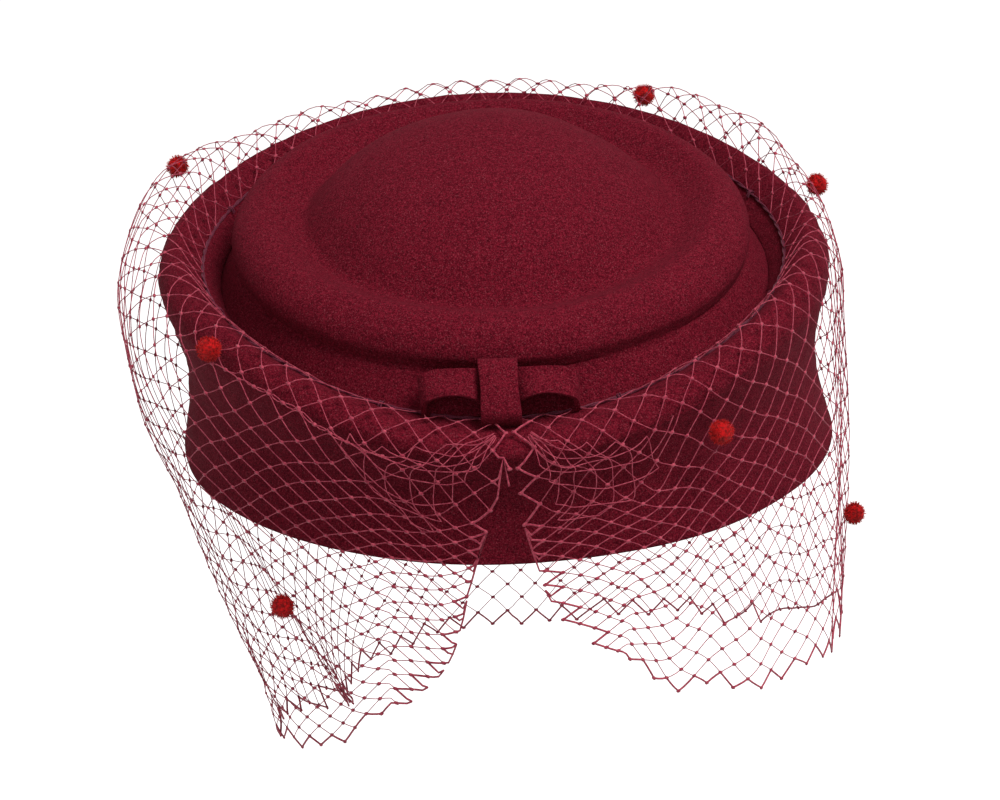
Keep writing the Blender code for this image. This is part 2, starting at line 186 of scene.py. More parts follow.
def piece(name, bm, paint, body="root", stands_for=(), smooth=True):
    """A finished object from a bmesh, riding on its body in place of its solid nodes."""
    mesh = bpy.data.meshes.new(name)
    bmesh.ops.recalc_face_normals(bm, faces=bm.faces)
    bm.to_mesh(mesh)
    bm.free()
    if smooth:
        mesh.shade_smooth()
    return placed(bpy.data.objects.new(name, mesh), paint, body, stands_for)


def placed(obj, paint, body="root", stands_for=()):
    bpy.context.scene.collection.objects.link(obj)
    if not obj.data.materials:
        obj.data.materials.append(paint)
    if body:
        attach(obj, body)
    if stands_for:
        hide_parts(*stands_for)
    return obj


def thicken(obj, thickness, offset, edge=0.0007):
    """Felt thickness, with softly rounded cut edges."""
    solid = obj.modifiers.new("Thickness", "SOLIDIFY")
    solid.thickness, solid.offset = thickness, offset
    bevel = obj.modifiers.new("Soft cut edge", "BEVEL")
    bevel.width, bevel.segments, bevel.limit_method = edge, 3, "ANGLE"
    bevel.angle_limit = math.radians(50)
    return obj


print("a soft curve through 3 points has", len(through([(0, 0), (1, 1), (2, 0)], 4)), "points")

# %% [markdown]
# ## Sums in a material
#
# `Sum` wraps one socket of a material, so that a pattern reads like a sum on paper.


# %% A small class for material sums
class Sum:
    def __init__(self, tree, socket=None):
        self.tree, self.socket = tree, socket

    def node(self, kind, inputs=(), output=0, **settings):
        made = self.tree.nodes.new(kind)
        for name, value in settings.items():
            setattr(made, name, value)
        for key, value in dict(inputs).items():
            if isinstance(value, Sum):
                self.tree.links.new(value.socket, made.inputs[key])
            else:
                made.inputs[key].default_value = value
        return Sum(self.tree, made.outputs[output])

    def math(self, operation, *values):
        return self.node("ShaderNodeMath", dict(enumerate(values)), operation=operation)

    def __add__(self, other):
        return self.math("ADD", self, other)

    def __sub__(self, other):
        return self.math("SUBTRACT", self, other)

    def __rsub__(self, other):
        return self.math("SUBTRACT", other, self)

    def __mul__(self, other):
        return self.math("MULTIPLY", self, other)

    def __pow__(self, other):
        return self.math("POWER", self, other)

    __radd__, __rmul__ = __add__, __mul__

    def clamped(self, low, high):
        """0 at low and 1 at high, straight in between."""
        return self.node(
            "ShaderNodeMapRange", {"Value": self, "From Min": low, "From Max": high}
        )

    def mix(self, a, b):
        """Colour a where this is 0 and b where it is 1."""
        colours = {0: self, 6: (*a, 1) if isinstance(a, tuple) else a}
        colours[7] = (*b, 1) if isinstance(b, tuple) else b
        return self.node("ShaderNodeMix", colours, output=2, data_type="RGBA")

    def noise(self, scale, detail=2.0, roughness=0.5, distortion=0.0):
        place = self.node("ShaderNodeTexCoord", output="Object")
        return self.node(
            "ShaderNodeTexNoise",
            {"Vector": place, "Scale": scale, "Detail": detail, "Roughness": roughness,
             "Distortion": distortion},
        )

    def bump(self, height, strength, distance):
        return self.node(
            "ShaderNodeBump", {"Height": height, "Strength": strength, "Distance": distance}
        )


def finish(name, slot, roughness, sheen=0.0, sheen_tint=(1, 1, 1)):
    """A new material: its shader node and the start of its sums."""
    made = bpy.data.materials.new(name)
    made.use_nodes = True
    made["slot"] = slot
    shader = made.node_tree.nodes["Principled BSDF"]
    shader.inputs["Roughness"].default_value = roughness
    shader.inputs["Sheen Weight"].default_value = sheen
    shader.inputs["Sheen Roughness"].default_value = 0.45
    shader.inputs["Sheen Tint"].default_value = (*sheen_tint, 1)
    shader.inputs["Specular IOR Level"].default_value = 0.25
    return made, shader, Sum(made.node_tree)


def use(tree_sum, shader, **sockets):
    for name, value in sockets.items():
        tree_sum.tree.links.new(value.socket, shader.inputs[name.replace("_", " ")])


# %% [markdown]
# ## Felt
#
# Wool felt is a mat of fibres: dark between them, lighter and pinker where a fibre catches the
# light. Two sizes of noise give the mat, a coarse one gives the uneven dye, and a sheen gives the
# soft edge that every fuzzy cloth has. Here and there a stray fibre is paler.


# %% Felt, ribbon and thread
def make_felt(name, dark, light, slot="wool_felt"):
    made, shader, s = finish(name, slot, 0.95, sheen=0.05, sheen_tint=(1.0, 0.10, 0.20))
    shader.inputs["Specular IOR Level"].default_value = 0.06
    fibre = s.noise(1700, 3.0, 0.70, 1.2)
    mat = s.noise(640, 3.0, 0.60, 0.8)
    dye = s.noise(38, 2.0)
    amount = fibre.clamped(0.46, 0.60) * 0.74 + mat.clamped(0.40, 0.62) * 0.20 + dye * 0.08
    stray = s.noise(2100, 1.0).clamped(0.60, 0.72) * 0.40
    use(s, shader, Base_Color=stray.mix(amount.mix(dark, light), (0.40, 0.085, 0.110)))
    height = fibre * 0.6 + mat * 1.1 + dye * 0.8
    use(s, shader, Normal=s.bump(height, 0.75, 0.0007))
    return made


felt = make_felt("burgundy felt", (0.055, 0.0006, 0.0050), (0.255, 0.0125, 0.0300))

ribbon, ribbon_shader, s = finish("grosgrain ribbon", "grosgrain_ribbon", 0.6, sheen=0.2)
around = s.node("ShaderNodeUVMap", uv_map="along")
rib = s.node(
    "ShaderNodeTexWave", {"Vector": around, "Scale": 1.0, "Distortion": 0.1}, bands_direction="X"
)
use(s, ribbon_shader, Base_Color=rib.mix((0.030, 0.0020, 0.0070), (0.075, 0.0060, 0.0180)))
use(s, ribbon_shader, Normal=s.bump(rib, 0.6, 0.0003))


def make_thread(name, slot, dark, light, scale=1800):
    made, shader, s = finish(name, slot, 0.62, sheen=0.15)
    strand = s.noise(scale, 2.0)
    use(s, shader, Base_Color=strand.clamped(0.35, 0.65).mix(dark, light))
    return made


thread = make_thread("burgundy thread", "thread", (0.075, 0.004, 0.016), (0.20, 0.016, 0.050))
print("materials:", felt.name, ribbon.name, thread.name)

# %% [markdown]
# ## Crown
#
# One piece of felt, blocked in steps: upright where it meets the head, a slope for the band, a
# crease, a rounded ring, a groove and a shallow dome. It leans, so that it rises to the back.


# %% Crown
def lean(z):
    return CROWN_LEAN * min(max(z - UPRIGHT_Z, 0.0) / (CROWN_FOOT.y - UPRIGHT_Z), 1.0)


def crown_line():
    mid = (GROOVE_Z + DOME_Z) / 2
    lower = straight([(CROWN_FOOT.x, FELT + GAP), (CROWN_FOOT.x, UPRIGHT_Z + OVAL_FADES_OVER)], 14)
    slope = straight([lower[-1], CROWN_FOOT, CREASE], 5)
    upper = through(
        [
            CREASE,
            (RING_R - 0.0008, CREASE.y + 0.0026),
            (RING_R, CREASE.y + 0.0060),
            (RING_R - 0.0022, CREASE.y + 0.0112),
            (RING_R - 0.0068, CREASE.y + 0.0150),
            (RING_R - 0.0125, RING_CREST_Z),
            (GROOVE_R + 0.0085, RING_CREST_Z - 0.0020),
            (GROOVE_R, GROOVE_Z),
            (GROOVE_R - 0.0055, GROOVE_Z + 0.0040),
            (GROOVE_R * 0.80, mid - 0.0035),
            (GROOVE_R * 0.60, mid + 0.0060),
            (GROOVE_R * 0.36, DOME_Z - 0.0035),
            (GROOVE_R * 0.15, DOME_Z - 0.0005),
            (0.0, DOME_Z),
        ],
        4,
    )
    return lower + slope[1:] + upper[1:]


def uneven(co, size, amount):
    """A hand-blocked surface is never quite even: a small push along a smooth noise."""
    return noise.noise(co * size) * amount


bm = turned(crown_line())
for vert in bm.verts:
    flat, z = vert.co.to_2d(), vert.co.z
    if flat.length > 1e-6:
        way = flat.normalized()
        oval = head_oval(SWEATBAND_THICK + GAP + FELT, way)
        flat = way * (oval + (flat.length - oval) * smoothstep((z - UPRIGHT_Z) / OVAL_FADES_OVER))
        if z > CREASE.y:
            flat += way * uneven(vert.co, 26, 0.0007)
    if z > CREASE.y:
        z += uneven(vert.co + Vector((1, 0, 0)), 22, 0.0009)
    vert.co = settled((flat.x, flat.y, z + lean(z) * flat.y))
crown = thicken(piece("felt_crown", bm, felt, stands_for=["crown"]), FELT, -1)
print("crown:", len(crown.data.polygons), "faces before thickness")

# %% [markdown]
# ## Brim
#
# A flat ring at the head line, turned up at its outer edge. The wall is waisted, swells out near
# the top and rolls in over the rim. Inside the rim the felt slopes down to the band's foot. The
# rim's height changes round the hat, low in front.


# %% Brim
RIM_TOP_R = BULGE_R - 0.0066
BAND_FOOT_R = CROWN_FOOT.x - 0.0010


def on_slope(s, share):
    """(radius, height) on the felt inside the rim: share 0 is the rim and 1 the band's foot."""
    rim, foot = 0.997 * rim_z(s), CROWN_FOOT.y + 0.0028 + CROWN_LEAN * CROWN_FOOT.x * s
    fall = share**1.5 * 0.75 + share * 0.25
    return RIM_TOP_R + (BAND_FOOT_R - RIM_TOP_R) * share, rim + (foot - rim) * fall


def brim_line():
    """(radius, height) points; from the third on, heights are shares of the rim's height."""
    flat = straight([(HEAD_HALF_WIDTH, 0.0), (BRIM_FOOT_R - 0.0020, 0.0)], 8)
    wall = through(
        [
            (BRIM_FOOT_R - 0.0020, 0.0),
            (BRIM_FOOT_R - 0.0002, 0.012),
            (BRIM_FOOT_R - 0.0018, 0.085),
            (WAIST_R + 0.0012, 0.26),
            (WAIST_R, 0.44),
            (WAIST_R + 0.0022, 0.62),
            (BULGE_R - 0.0012, 0.79),
            (BULGE_R, 0.88),
            (BULGE_R - 0.0022, 0.955),
            (RIM_TOP_R, 0.995),
        ],
        4,
    )
    slope = [Vector((RIM_TOP_R, 1 + k / 14)) for k in range(1, 15)]
    return flat + wall[1:] + slope


bm = turned(brim_line())
for vert in bm.verts:
    flat, z = vert.co.to_2d(), vert.co.z
    way = flat.normalized()
    if z > 1.0001:
        r, height = on_slope(way.y, z - 1)
        flat, z = way * r, height / rim_z(way.y)
    elif z > 1e-5:
        flat += way * uneven(vert.co + way.to_3d() * z, 18, 0.0009)
    else:
        oval = head_oval(SWEATBAND_THICK + GAP, way)
        share = (flat.length - HEAD_HALF_WIDTH) / (BRIM_FOOT_R - HEAD_HALF_WIDTH)
        flat = way * (oval + (BRIM_FOOT_R - oval) * share)
    vert.co = settled((flat.x, flat.y, z * rim_z(way.y)))
brim = thicken(piece("felt_brim", bm, felt, stands_for=["brim"]), FELT, -1)
print("brim:", len(brim.data.polygons), "faces before thickness")

# %% [markdown]
# ## Hatband
#
# A strip of the same felt laid on the crown's slope. Its two ends meet under the bow.

# %% Hatband
BAND_THICK = 0.0020
BAND_SPLIT_DEG = 1.2
BAND_RUN = CREASE - CROWN_FOOT
BAND_NORMAL = Vector((BAND_RUN.y, -BAND_RUN.x)).normalized()


def on_band(degrees, share, off):
    """A point off the crown's slope: share 0 is the band's foot and 1 is the crease."""
    r, z = CROWN_FOOT + BAND_RUN * share + BAND_NORMAL * off
    flat = direction(degrees) * r
    return settled((flat.x, flat.y, z + CROWN_LEAN * flat.y))


def strip(columns):
    """A sheet of faces through columns of points."""
    bm = bmesh.new()
    bmesh.ops.create_grid(bm, x_segments=len(columns[0]) - 1, y_segments=len(columns) - 1, size=1)
    bm.verts.ensure_lookup_table()
    across = len(columns[0])
    for index, vert in enumerate(bm.verts):
        vert.co = columns[index // across][index % across]
    return bm


BAND_STEPS = 160
columns = []
for step in range(BAND_STEPS + 1):
    degrees = BAND_SPLIT_DEG + (360 - 2 * BAND_SPLIT_DEG) * step / BAND_STEPS
    wave = noise.noise(direction(degrees) * 7) * 0.0004
    columns.append([on_band(degrees, 0.01 + 0.91 * k / 6, GAP + abs(wave)) for k in range(7)])
hatband = piece("felt_hatband", strip(columns), felt, stands_for=["hatband"])
thicken(hatband, BAND_THICK, 1)
print("hatband:", len(hatband.data.polygons), "faces before thickness")

# %% [markdown]
# ## Bow
#
# Two flattened loops of felt and a strap over their middle. The front layer of each loop flares
# out at its lower edge, so that the loop stands open underneath.

# %% Bow
BOW_STRAP_WIDE = 0.0135
BOW_STRAP_THICK = 0.0018
BOW_LOOP_LONG = 0.0215
BOW_LOOP_TALL = 0.0130
BOW_LOOP_DEEP = 0.0068
BOW_FELT = 0.0018
BOW_HEIGHT_SHARE = 0.62
BOW_LIFT = 0.0010

bow_middle = on_band(0, BOW_HEIGHT_SHARE, GAP + BAND_THICK + BOW_LIFT)
bow_up = (on_band(0, 1, 0) - on_band(0, 0, 0)).normalized()
bow_right = Vector((1, 0, 0))
bow_out = bow_right.cross(bow_up).normalized()


def bow_loop(name, side, node):
    near, bend = BOW_STRAP_WIDE / 2 - 0.0010, BOW_LOOP_DEEP / 2
    far = near + BOW_LOOP_LONG
    line = [(near, BOW_LOOP_DEEP - 0.0010), (near + 0.004, BOW_LOOP_DEEP + 0.0004)]
    line += [(near + 0.010, BOW_LOOP_DEEP + 0.0010)]
    for step in range(7):
        turn = math.pi / 2 - math.pi * step / 6
        line.append((far - bend + math.cos(turn) * bend, bend + math.sin(turn) * bend))
    line += [(near + 0.008, 0.0002), (near, 0.0006)]
    path = through(line, 5)
    rows = 10
    columns = []
    for x, y in path:
        front = smoothstep((y - 0.0015) / 0.0045)
        arch = math.sin(math.pi * min(max((x - near) / (far - near), 0.0), 1.0)) ** 0.7
        outer = smoothstep((x - far + 0.006) / 0.006)
        top = BOW_LOOP_TALL / 2 - 0.0016 * outer
        bottom = -BOW_LOOP_TALL / 2 - 0.0030 * (1 - front) + 0.0030 * arch * front + 0.0006 * outer
        column = []
        for row in range(rows + 1):
            down = 1 - row / rows
            flare = smoothstep(down * 1.2 - 0.15) * front * arch
            point = bow_middle + bow_right * side * (x - 0.0006 * outer * down)
            point += bow_out * (y + 0.0042 * flare)
            point += bow_up * (bottom + (top - bottom) * (1 - down))
            column.append(point)
        columns.append(column)
    return thicken(piece(name, strip(columns), felt, stands_for=[node]), BOW_FELT, 0, 0.0005)


bow_loop("felt_bow_left_loop", -1, "bow_left_loop")
bow_loop("felt_bow_right_loop", 1, "bow_right_loop")

half = BOW_LOOP_TALL / 2 + 0.0022
front = BOW_LOOP_DEEP + 0.0016 + BOW_STRAP_THICK
path = through(
    [
        (-half - 0.0046, 0.0020),
        (-half - 0.0044, front * 0.62),
        (-half - 0.0020, front + 0.0018),
        (-half * 0.3, front + 0.0020),
        (half * 0.45, front + 0.0002),
        (half - 0.0008, front * 0.80),
        (half + 0.0006, front * 0.55),
    ],
    6,
)
columns = []
for high, deep in path:
    column = []
    for k in range(9):
        across = k / 4 - 1
        curl = 0.0005 * across * across
        width = BOW_STRAP_WIDE / 2 * (1 - 0.04 * math.cos(high * 260))
        column.append(
            bow_middle + bow_up * high + bow_out * (deep - curl) + bow_right * across * width
        )
    columns.append(column)
bow_strap = piece("felt_bow_strap", strip(columns), felt, stands_for=["bow_centre_strap"])
thicken(bow_strap, BOW_STRAP_THICK, 0, 0.0005)
print("bow: two loops and a strap")

# %% [markdown]
# ## Inside: sweatband, stitches and the gathering thread
#
# A ribbed ribbon lines the head opening, held by a running stitch. Inside the rim a two-ply thread
# gathers the net, and a short stitch ties it to the rim's cut edge every so often.


# %% Sweatband and threads
def tubes(name, lines, radius, paint, body="root", stands_for=()):
    """Round threads of one thickness along lines of points, as one mesh."""
    data = bpy.data.curves.new(name, "CURVE")
    data.dimensions = "3D"
    data.bevel_depth, data.bevel_resolution, data.use_fill_caps = radius, 1, True
    for line in lines:
        spline = data.splines.new("POLY")
        spline.points.add(len(line) - 1)
        for point, place in zip(spline.points, line):
            point.co = (*place, 1)
    drawn = bpy.data.objects.new(name + "_line", data)
    mesh = bpy.data.meshes.new_from_object(drawn)
    bpy.data.objects.remove(drawn)
    bpy.data.curves.remove(data)
    mesh.name = name
    mesh.shade_smooth()
    return placed(bpy.data.objects.new(name, mesh), paint, body, stands_for)


bm = turned(straight([(HEAD_HALF_WIDTH, GAP), (HEAD_HALF_WIDTH, SWEATBAND_TALL)], 8))
along = bm.loops.layers.uv.new("along")
for face in bm.faces:
    turns = [math.atan2(loop.vert.co.y, loop.vert.co.x) % math.tau for loop in face.loops]
    for loop, turn in zip(face.loops, turns):
        if max(turns) - min(turns) > math.pi and turn < math.pi:
            turn += math.tau
        loop[along].uv = (turn * 14, loop.vert.co.z)
for vert in bm.verts:
    way = vert.co.to_2d().normalized()
    flat = way * head_oval(SWEATBAND_THICK, way)
    vert.co = (flat.x, flat.y, vert.co.z)
sweatband = piece("ribbed_sweatband", bm, ribbon, stands_for=["sweatband"])
thicken(sweatband, SWEATBAND_THICK, -1, 0.0003)

STITCHES = 110
STITCH_RISE = (-0.0002, 0.0007, -0.0002)  # each stitch dives into the ribbon at both ends
STITCH_Z = Vector((0, 0, SWEATBAND_TALL - 0.003))

stitches = []
for step in range(STITCHES):
    ways = [direction(360 * (step + k) / STITCHES) for k in (0.12, 0.4, 0.7)]
    stitches.append(
        [way * head_oval(-rise, way) + STITCH_Z for way, rise in zip(ways, STITCH_RISE)]
    )
tubes("sweatband_running_stitch", stitches, 0.0003, thread, stands_for=["sweatband_stitching"])

GATHER_SHARE = 0.62  # how far down the inner slope the net is gathered


def gather_place(degrees):
    out = direction(degrees)
    r, z = on_slope(out.y, GATHER_SHARE)
    return settled(out * r + Vector((0, 0, z + 0.0007)))


plies = []
for ply in (0, math.pi):
    line = []
    for step in range(721):
        turn = step * 0.42 + ply
        out = direction(step / 2)
        line.append(
            gather_place(step / 2)
            + out * math.cos(turn) * 0.00032
            + Vector((0, 0, math.sin(turn) * 0.00032))
        )
    plies.append(line)
tubes("two_ply_gathering_thread", plies, 0.00034, thread, stands_for=["veil_gathering_thread"])

for number in range(1, 9):
    node = f"veil_tack_{number}"
    low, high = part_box(node)
    middle = (low + high) / 2
    degrees = math.degrees(math.atan2(middle.x, -middle.y))
    lines = []
    for side in (-0.25, 0.25):
        start, out = gather_place(degrees + side), direction(degrees + side)
        steps = ((-0.0016, -0.0012), (-0.0006, 0.0008), (0.0006, 0.0008), (0.0018, -0.0004))
        lines.append(through([start + out * far + Vector((0, 0, up)) for far, up in steps], 3))
    tubes(f"rim_stitch_{number}", lines, 0.00028, thread, stands_for=[node])
print("sewn:", len(stitches), "running stitches and 8 rim stitches")

# %% [markdown]
# ## The net
#
# Veil netting is knotted on the diagonal: each cell is a diamond standing on its corner. It is laid
# out here as a flat strip, `u` along the rim and `v` down from the gathering thread, and each
# crossing of the strip is then hung on the hat. The strip starts and ends at the centre front,
# where the veil is split, and it passes the back without a seam. Cutting it along the cells leaves
# a stepped edge, and a thicker selvedge thread runs along that edge.
#
# At the front the strip is drawn up towards the bow. Its rows stay even over the brim and crowd
# together below it, so that they follow the hem.

# %% How the net hangs
CELL = 0.01235  # corner to corner of one diamond
SPLIT_DEG = 0.6
SPLIT_AT_DEG = 1.4  # the split lies a little to one side of the middle
VEIL_R = 0.1263
SKIN = BULGE_R + 0.0016
HEM_FRONT_Z, HEM_FALL = -0.0250, 0.1110
HEM_DROOP_LEFT, HEM_DROOP_RIGHT = 0.0220, 0.0030
STANDOFF_LEFT, STANDOFF_RIGHT, STANDOFF_BACK = 0.0140, 0.0020, 0.0060
LEFT_TUCK = 0.0440
FULL_AT_DEG = 78  # in front of this the net's rows crowd together towards the bow
EVEN_TO = 0.048  # down to here the rows stay evenly spaced
STRIP = VEIL_R * math.radians(360 - 2 * SPLIT_DEG)


def ring_noise(degrees, size, seed, height=0.0):
    """A smooth noise from -1 to 1 that closes on itself round the hat."""
    out = direction(degrees) * size
    return noise.noise(Vector((out.x + seed, out.y - seed, height)))


def standoff(degrees):
    turn = math.radians(degrees)
    side = STANDOFF_RIGHT if degrees > 0 else STANDOFF_LEFT
    across = math.sin(turn) ** 2
    back = max(0.0, -math.cos(turn)) ** 2
    return side * across + STANDOFF_BACK * back * (1 - across)


def hem_z(degrees):
    turn = abs(degrees)
    sweep = (RIM_FRONT_Z - HEM_FRONT_Z) * math.exp(-turn / 4.0)
    if degrees < 0:
        droop = HEM_DROOP_LEFT * smoothstep(turn / 40) * smoothstep((180 - turn) / 60)
    else:
        droop = HEM_DROOP_RIGHT * smoothstep(turn / 90) * smoothstep((180 - turn) / 90)
        droop -= 0.0075 * math.exp(-(((turn - 15) / 10) ** 2))
    return HEM_FRONT_Z + sweep - HEM_FALL * (turn / 180) ** 0.7 - droop


def tuck(degrees, z):
    below = max(0.0, 0.010 - z) / 0.110
    return LEFT_TUCK * math.exp(-(((degrees + 95) / 42) ** 2)) * below * (1 + 0.24 * below)


def drop(degrees):
    """The net's line from the gathering thread over the rim and down to the hem."""
    rim, off = rim_z(direction(degrees).y), standoff(degrees)
    loft = 0.0012 + 0.0028 * max(0.0, ring_noise(degrees, 4.5, 3.1) + 0.35)
    loft *= 0.30 + 0.70 * smoothstep(abs(degrees) / 60)
    loft += 0.0095 * math.exp(-(((degrees - 126) / 24) ** 2))
    loft += 0.0100 * math.exp(-(((degrees + 108) / 22) ** 2))
    inner = [on_slope(direction(degrees).y, share) for share in (GATHER_SHARE, 0.36)]
    rows = [
        (inner[0][0], inner[0][1] + 0.0010),
        (inner[1][0], inner[1][1] + 0.0014 + loft * 0.5),
        (RIM_TOP_R, rim + 0.0014 + loft),
        (BULGE_R - 0.0026 + off * 0.3 + loft * 0.4, rim * 0.985 + off * 0.15 + loft * 0.8),
        (SKIN + off * 0.8 + loft * 0.3, rim * 0.84),
        (SKIN + off, rim * 0.60),
        (SKIN + off * 0.8, rim * 0.30),
    ]
    for step in range(8):
        z = -0.025 * step
        rows.append((SKIN + off * 0.4 - tuck(degrees, z), z))
    return [Vector(row) for row in rows]


def reach(degrees):
    """Length of the line down to the hem."""
    line, hem, gone = drop(degrees), hem_z(degrees), 0.0
    for index, (a, b) in enumerate(zip(line, line[1:])):
        if index > 2 and b.y <= hem:
            return gone + (b - a).length * (a.y - hem) / max(a.y - b.y, 1e-9)
        gone += (b - a).length
    return gone


def down_the_line(line, v):
    """The point this far down a line, and the line's direction there."""
    for index, (a, b) in enumerate(zip(line, line[1:])):
        step = (b - a).length
        if v <= step or index == len(line) - 2:
            before = line[index - 1] if index else a * 2 - b
            after = line[index + 2] if index + 2 < len(line) else b * 2 - a
            t = v / max(step, 1e-9)
            if t > 1:
                return b + (b - a).normalized() * (v - step)
            return curve_point(before, a, b, after, t)
        v -= step


def degrees_at(u):
    turn = SPLIT_AT_DEG + SPLIT_DEG + math.degrees(u / VEIL_R)
    return turn if turn <= 180 else turn - 360


def pleat(degrees):
    """Length of net lost in the soft cross folds at the front, wider on the left."""
    left = 0.0062 * math.exp(-(((degrees + 34) / 24) ** 2))
    return left + 0.0030 * math.exp(-(((degrees - 12) / 9) ** 2))


def drawn_up(degrees):
    """Length of net that is drawn up towards the bow, so that the rows follow the hem."""
    full, long = reach(math.copysign(FULL_AT_DEG, degrees)), reach(degrees)
    extra = max(0.0, full - long) if abs(degrees) < FULL_AT_DEG else 0.0
    return max(0.0, min(extra, 1.25 * (long - EVEN_TO)))


def hang(u, v):
    """Where a point of the flat strip hangs."""
    v = max(v, 0.0)
    degrees = degrees_at(u)
    extra = drawn_up(degrees)
    if extra and v > EVEN_TO:
        room = reach(degrees) + 2 * pleat(degrees) - EVEN_TO
        v = EVEN_TO + (v - EVEN_TO) * room / (room + extra)
    turn = abs(degrees)
    if turn < 60:  # nothing hangs past the steep part of the hem
        v = min(v, reach(degrees) + 2 * pleat(degrees) + 0.005 * smoothstep(turn / 30))
    if degrees > 0:
        swing = 8.0 * smoothstep(u / 0.08) * math.exp(-((u / 0.14) ** 2))
        degrees -= swing * smoothstep((v - EVEN_TO) / 0.10)
    fold_at = 0.024 + 0.006 * ring_noise(degrees, 3.0, 6.1)
    v -= 2 * pleat(degrees) * smoothstep((v - fold_at) / 0.014)
    free = smoothstep((v - 0.030) / 0.10)
    ends = math.exp(-u / 0.020), math.exp(-(STRIP - u) / 0.020)
    degrees += ends[0] * 0.6 * smoothstep((v - 0.02) / 0.05)
    degrees -= ends[1] * 5.0 * smoothstep((v - 0.020) / 0.060)
    gather = math.exp(-v / 0.011)
    degrees += 2.6 * gather * ring_noise(degrees, 17, 8.3)
    degrees += (0.30 + 0.6 * free) * ring_noise(degrees, 5.5, 1.7, v * 22)
    v += 0.0016 * smoothstep(v / 0.02) * ring_noise(degrees, 6.5, 5.2, v * 26)
    r, z = down_the_line(drop(degrees), v)
    wall = smoothstep((v - 0.010) / 0.02)
    wave = ring_noise(degrees, 5.0, 9.4, v * 7)
    r += wall * (0.0008 + standoff(degrees) * 0.12) * (wave + 0.4) + 0.0042 * free * wave
    z += 0.0012 * gather * ring_noise(degrees, 23, 2.2)
    flat = direction(degrees) * r
    return settled((flat.x, flat.y, z))


print("the flat strip is", round(STRIP, 3), "m long")
print("its drop at the back is", round(reach(180), 3), "m")

# %% [markdown]
# A square grid turned by 45 degrees is the flat net. Cells outside the strip are dropped, and what
# is left tells which threads are inner ones and which are on the edge.

# %% Knot the net
NET_COUNT = round(STRIP / CELL)
CELL = STRIP / NET_COUNT
half_side = (STRIP + 0.32) / 2
cells = math.ceil(2 * half_side / (CELL / math.sqrt(2)) / 2) * 2
half_side = cells * CELL / math.sqrt(2) / 2
net = bmesh.new()
bmesh.ops.create_grid(net, x_segments=cells, y_segments=cells, size=half_side)
bmesh.ops.rotate(net, verts=net.verts, matrix=Matrix.Rotation(math.radians(45), 3, "Z"))
shift = Vector((round(STRIP / 2 / CELL) * CELL, round(0.10 / CELL) * CELL, 0))
bmesh.ops.translate(net, verts=net.verts, vec=shift)


def cut_at(degrees):
    """How far down the net is cut: a little longer behind than in front."""
    behind = smoothstep((abs(degrees) - 100) / 40)
    more = 0.5 * behind - (1.2 if degrees > 0 else 0.45) * (1 - behind)
    return reach(degrees) + drawn_up(degrees) + 2 * pleat(degrees) + CELL * more


def kept(face):
    u, v = face.calc_center_median().to_2d()
    return 0 < u < STRIP and -CELL * 0.3 < v < cut_at(degrees_at(u))


bmesh.ops.delete(net, geom=[f for f in net.faces if not kept(f)], context="FACES")
print("the net has", len(net.faces), "cells and", len(net.verts), "knots")

FRONT_SEAM_DEG = 105


def part_of(u):
    degrees = degrees_at(u)
    if abs(degrees) > FRONT_SEAM_DEG:
        return "back"
    return "left" if degrees < 0 else "right"


fine, edging, knots = ({part: [] for part in ("left", "right", "back")} for _ in range(3))
for edge in net.edges:
    a, b = (vert.co.to_2d() for vert in edge.verts)
    middle = (a + b) / 2
    if middle.y < -CELL * 0.2:
        continue
    line = [hang(*a.lerp(b, k / 3)) for k in range(4)]
    on_edge = edge.is_boundary and middle.y > CELL * 0.3
    (edging if on_edge else fine)[part_of(middle.x)].append(line)
for vert in net.verts:
    if vert.co.y > CELL * 0.2:
        knots[part_of(vert.co.x)].append(vert.co.to_2d())
net.free()

# %% [markdown]
# Under the bow the net is drawn together, and its spare width falls in two small fans of extra
# folds. Their cells start narrow at the bow and open out, over the first layer.


# %% Folds under the bow
def fan(side, aim_deg, spread_deg, long, lift, seed, columns, rows):
    """Threads of a gathered fan that spreads over the net from under the bow."""
    start = 0.003 if side > 0 else STRIP - 0.003

    def at(a, b):
        share = b / rows
        turn = math.radians(aim_deg + spread_deg * (a / columns - 0.5) * (0.6 + 0.4 * share))
        turn += 0.05 * noise.noise(Vector((a * 0.5 + seed, b * 0.5, 1.0)))
        far = 0.0030 + long * share * (1 + 0.07 * noise.noise(Vector((a * 0.4, b * 0.3, seed))))
        here = hang(start + side * math.sin(turn) * far, 0.011 + math.cos(turn) * far)
        off = lift * (0.6 + 0.4 * math.sin(a * 1.7 + seed))
        off *= math.sin(math.pi * min(share + 0.2, 1))
        return here + Vector((here.x, here.y, 0)).normalized() * (0.0005 + off)

    lines = []
    for a in range(columns + 1):
        for b in range(a % 2, rows, 2):
            for way in (-1, 1):
                if 0 <= a + way <= columns:
                    lines.append([at(a + way * k / 3, b + k / 3) for k in range(4)])
    return lines


fans = {
    "right": fan(1, 42, 66, 0.052, 0.0022, 2.0, 8, 10),
    "left": fan(-1, 50, 54, 0.060, 0.0020, 7.0, 7, 11),
}
for side, lines in fans.items():
    fine[side] += lines
print("folds under the bow:", sum(len(lines) for lines in fans.values()), "extra threads")

# %% [markdown]
# ## Threads, knots and selvedge
#
# Inner threads are a third of a millimetre thick and the selvedge is a little over twice that. A
# small flattened knot sits on every crossing.

# %% Make the net's threads
NET_THREAD_R = 0.00017
SELVEDGE_R = 0.00038
KNOT_HALF = (0.00110, 0.00078, 0.00045)  # beside, down and outwards
BEND_FROM, BEND_TO = 0.0815, 0.1286  # a band down and outwards where the net would bend; nothing here bends it

net_thread = make_thread(
    "crimson net thread", "crimson_net", (0.30, 0.014, 0.045), (0.56, 0.075, 0.120), 900
)


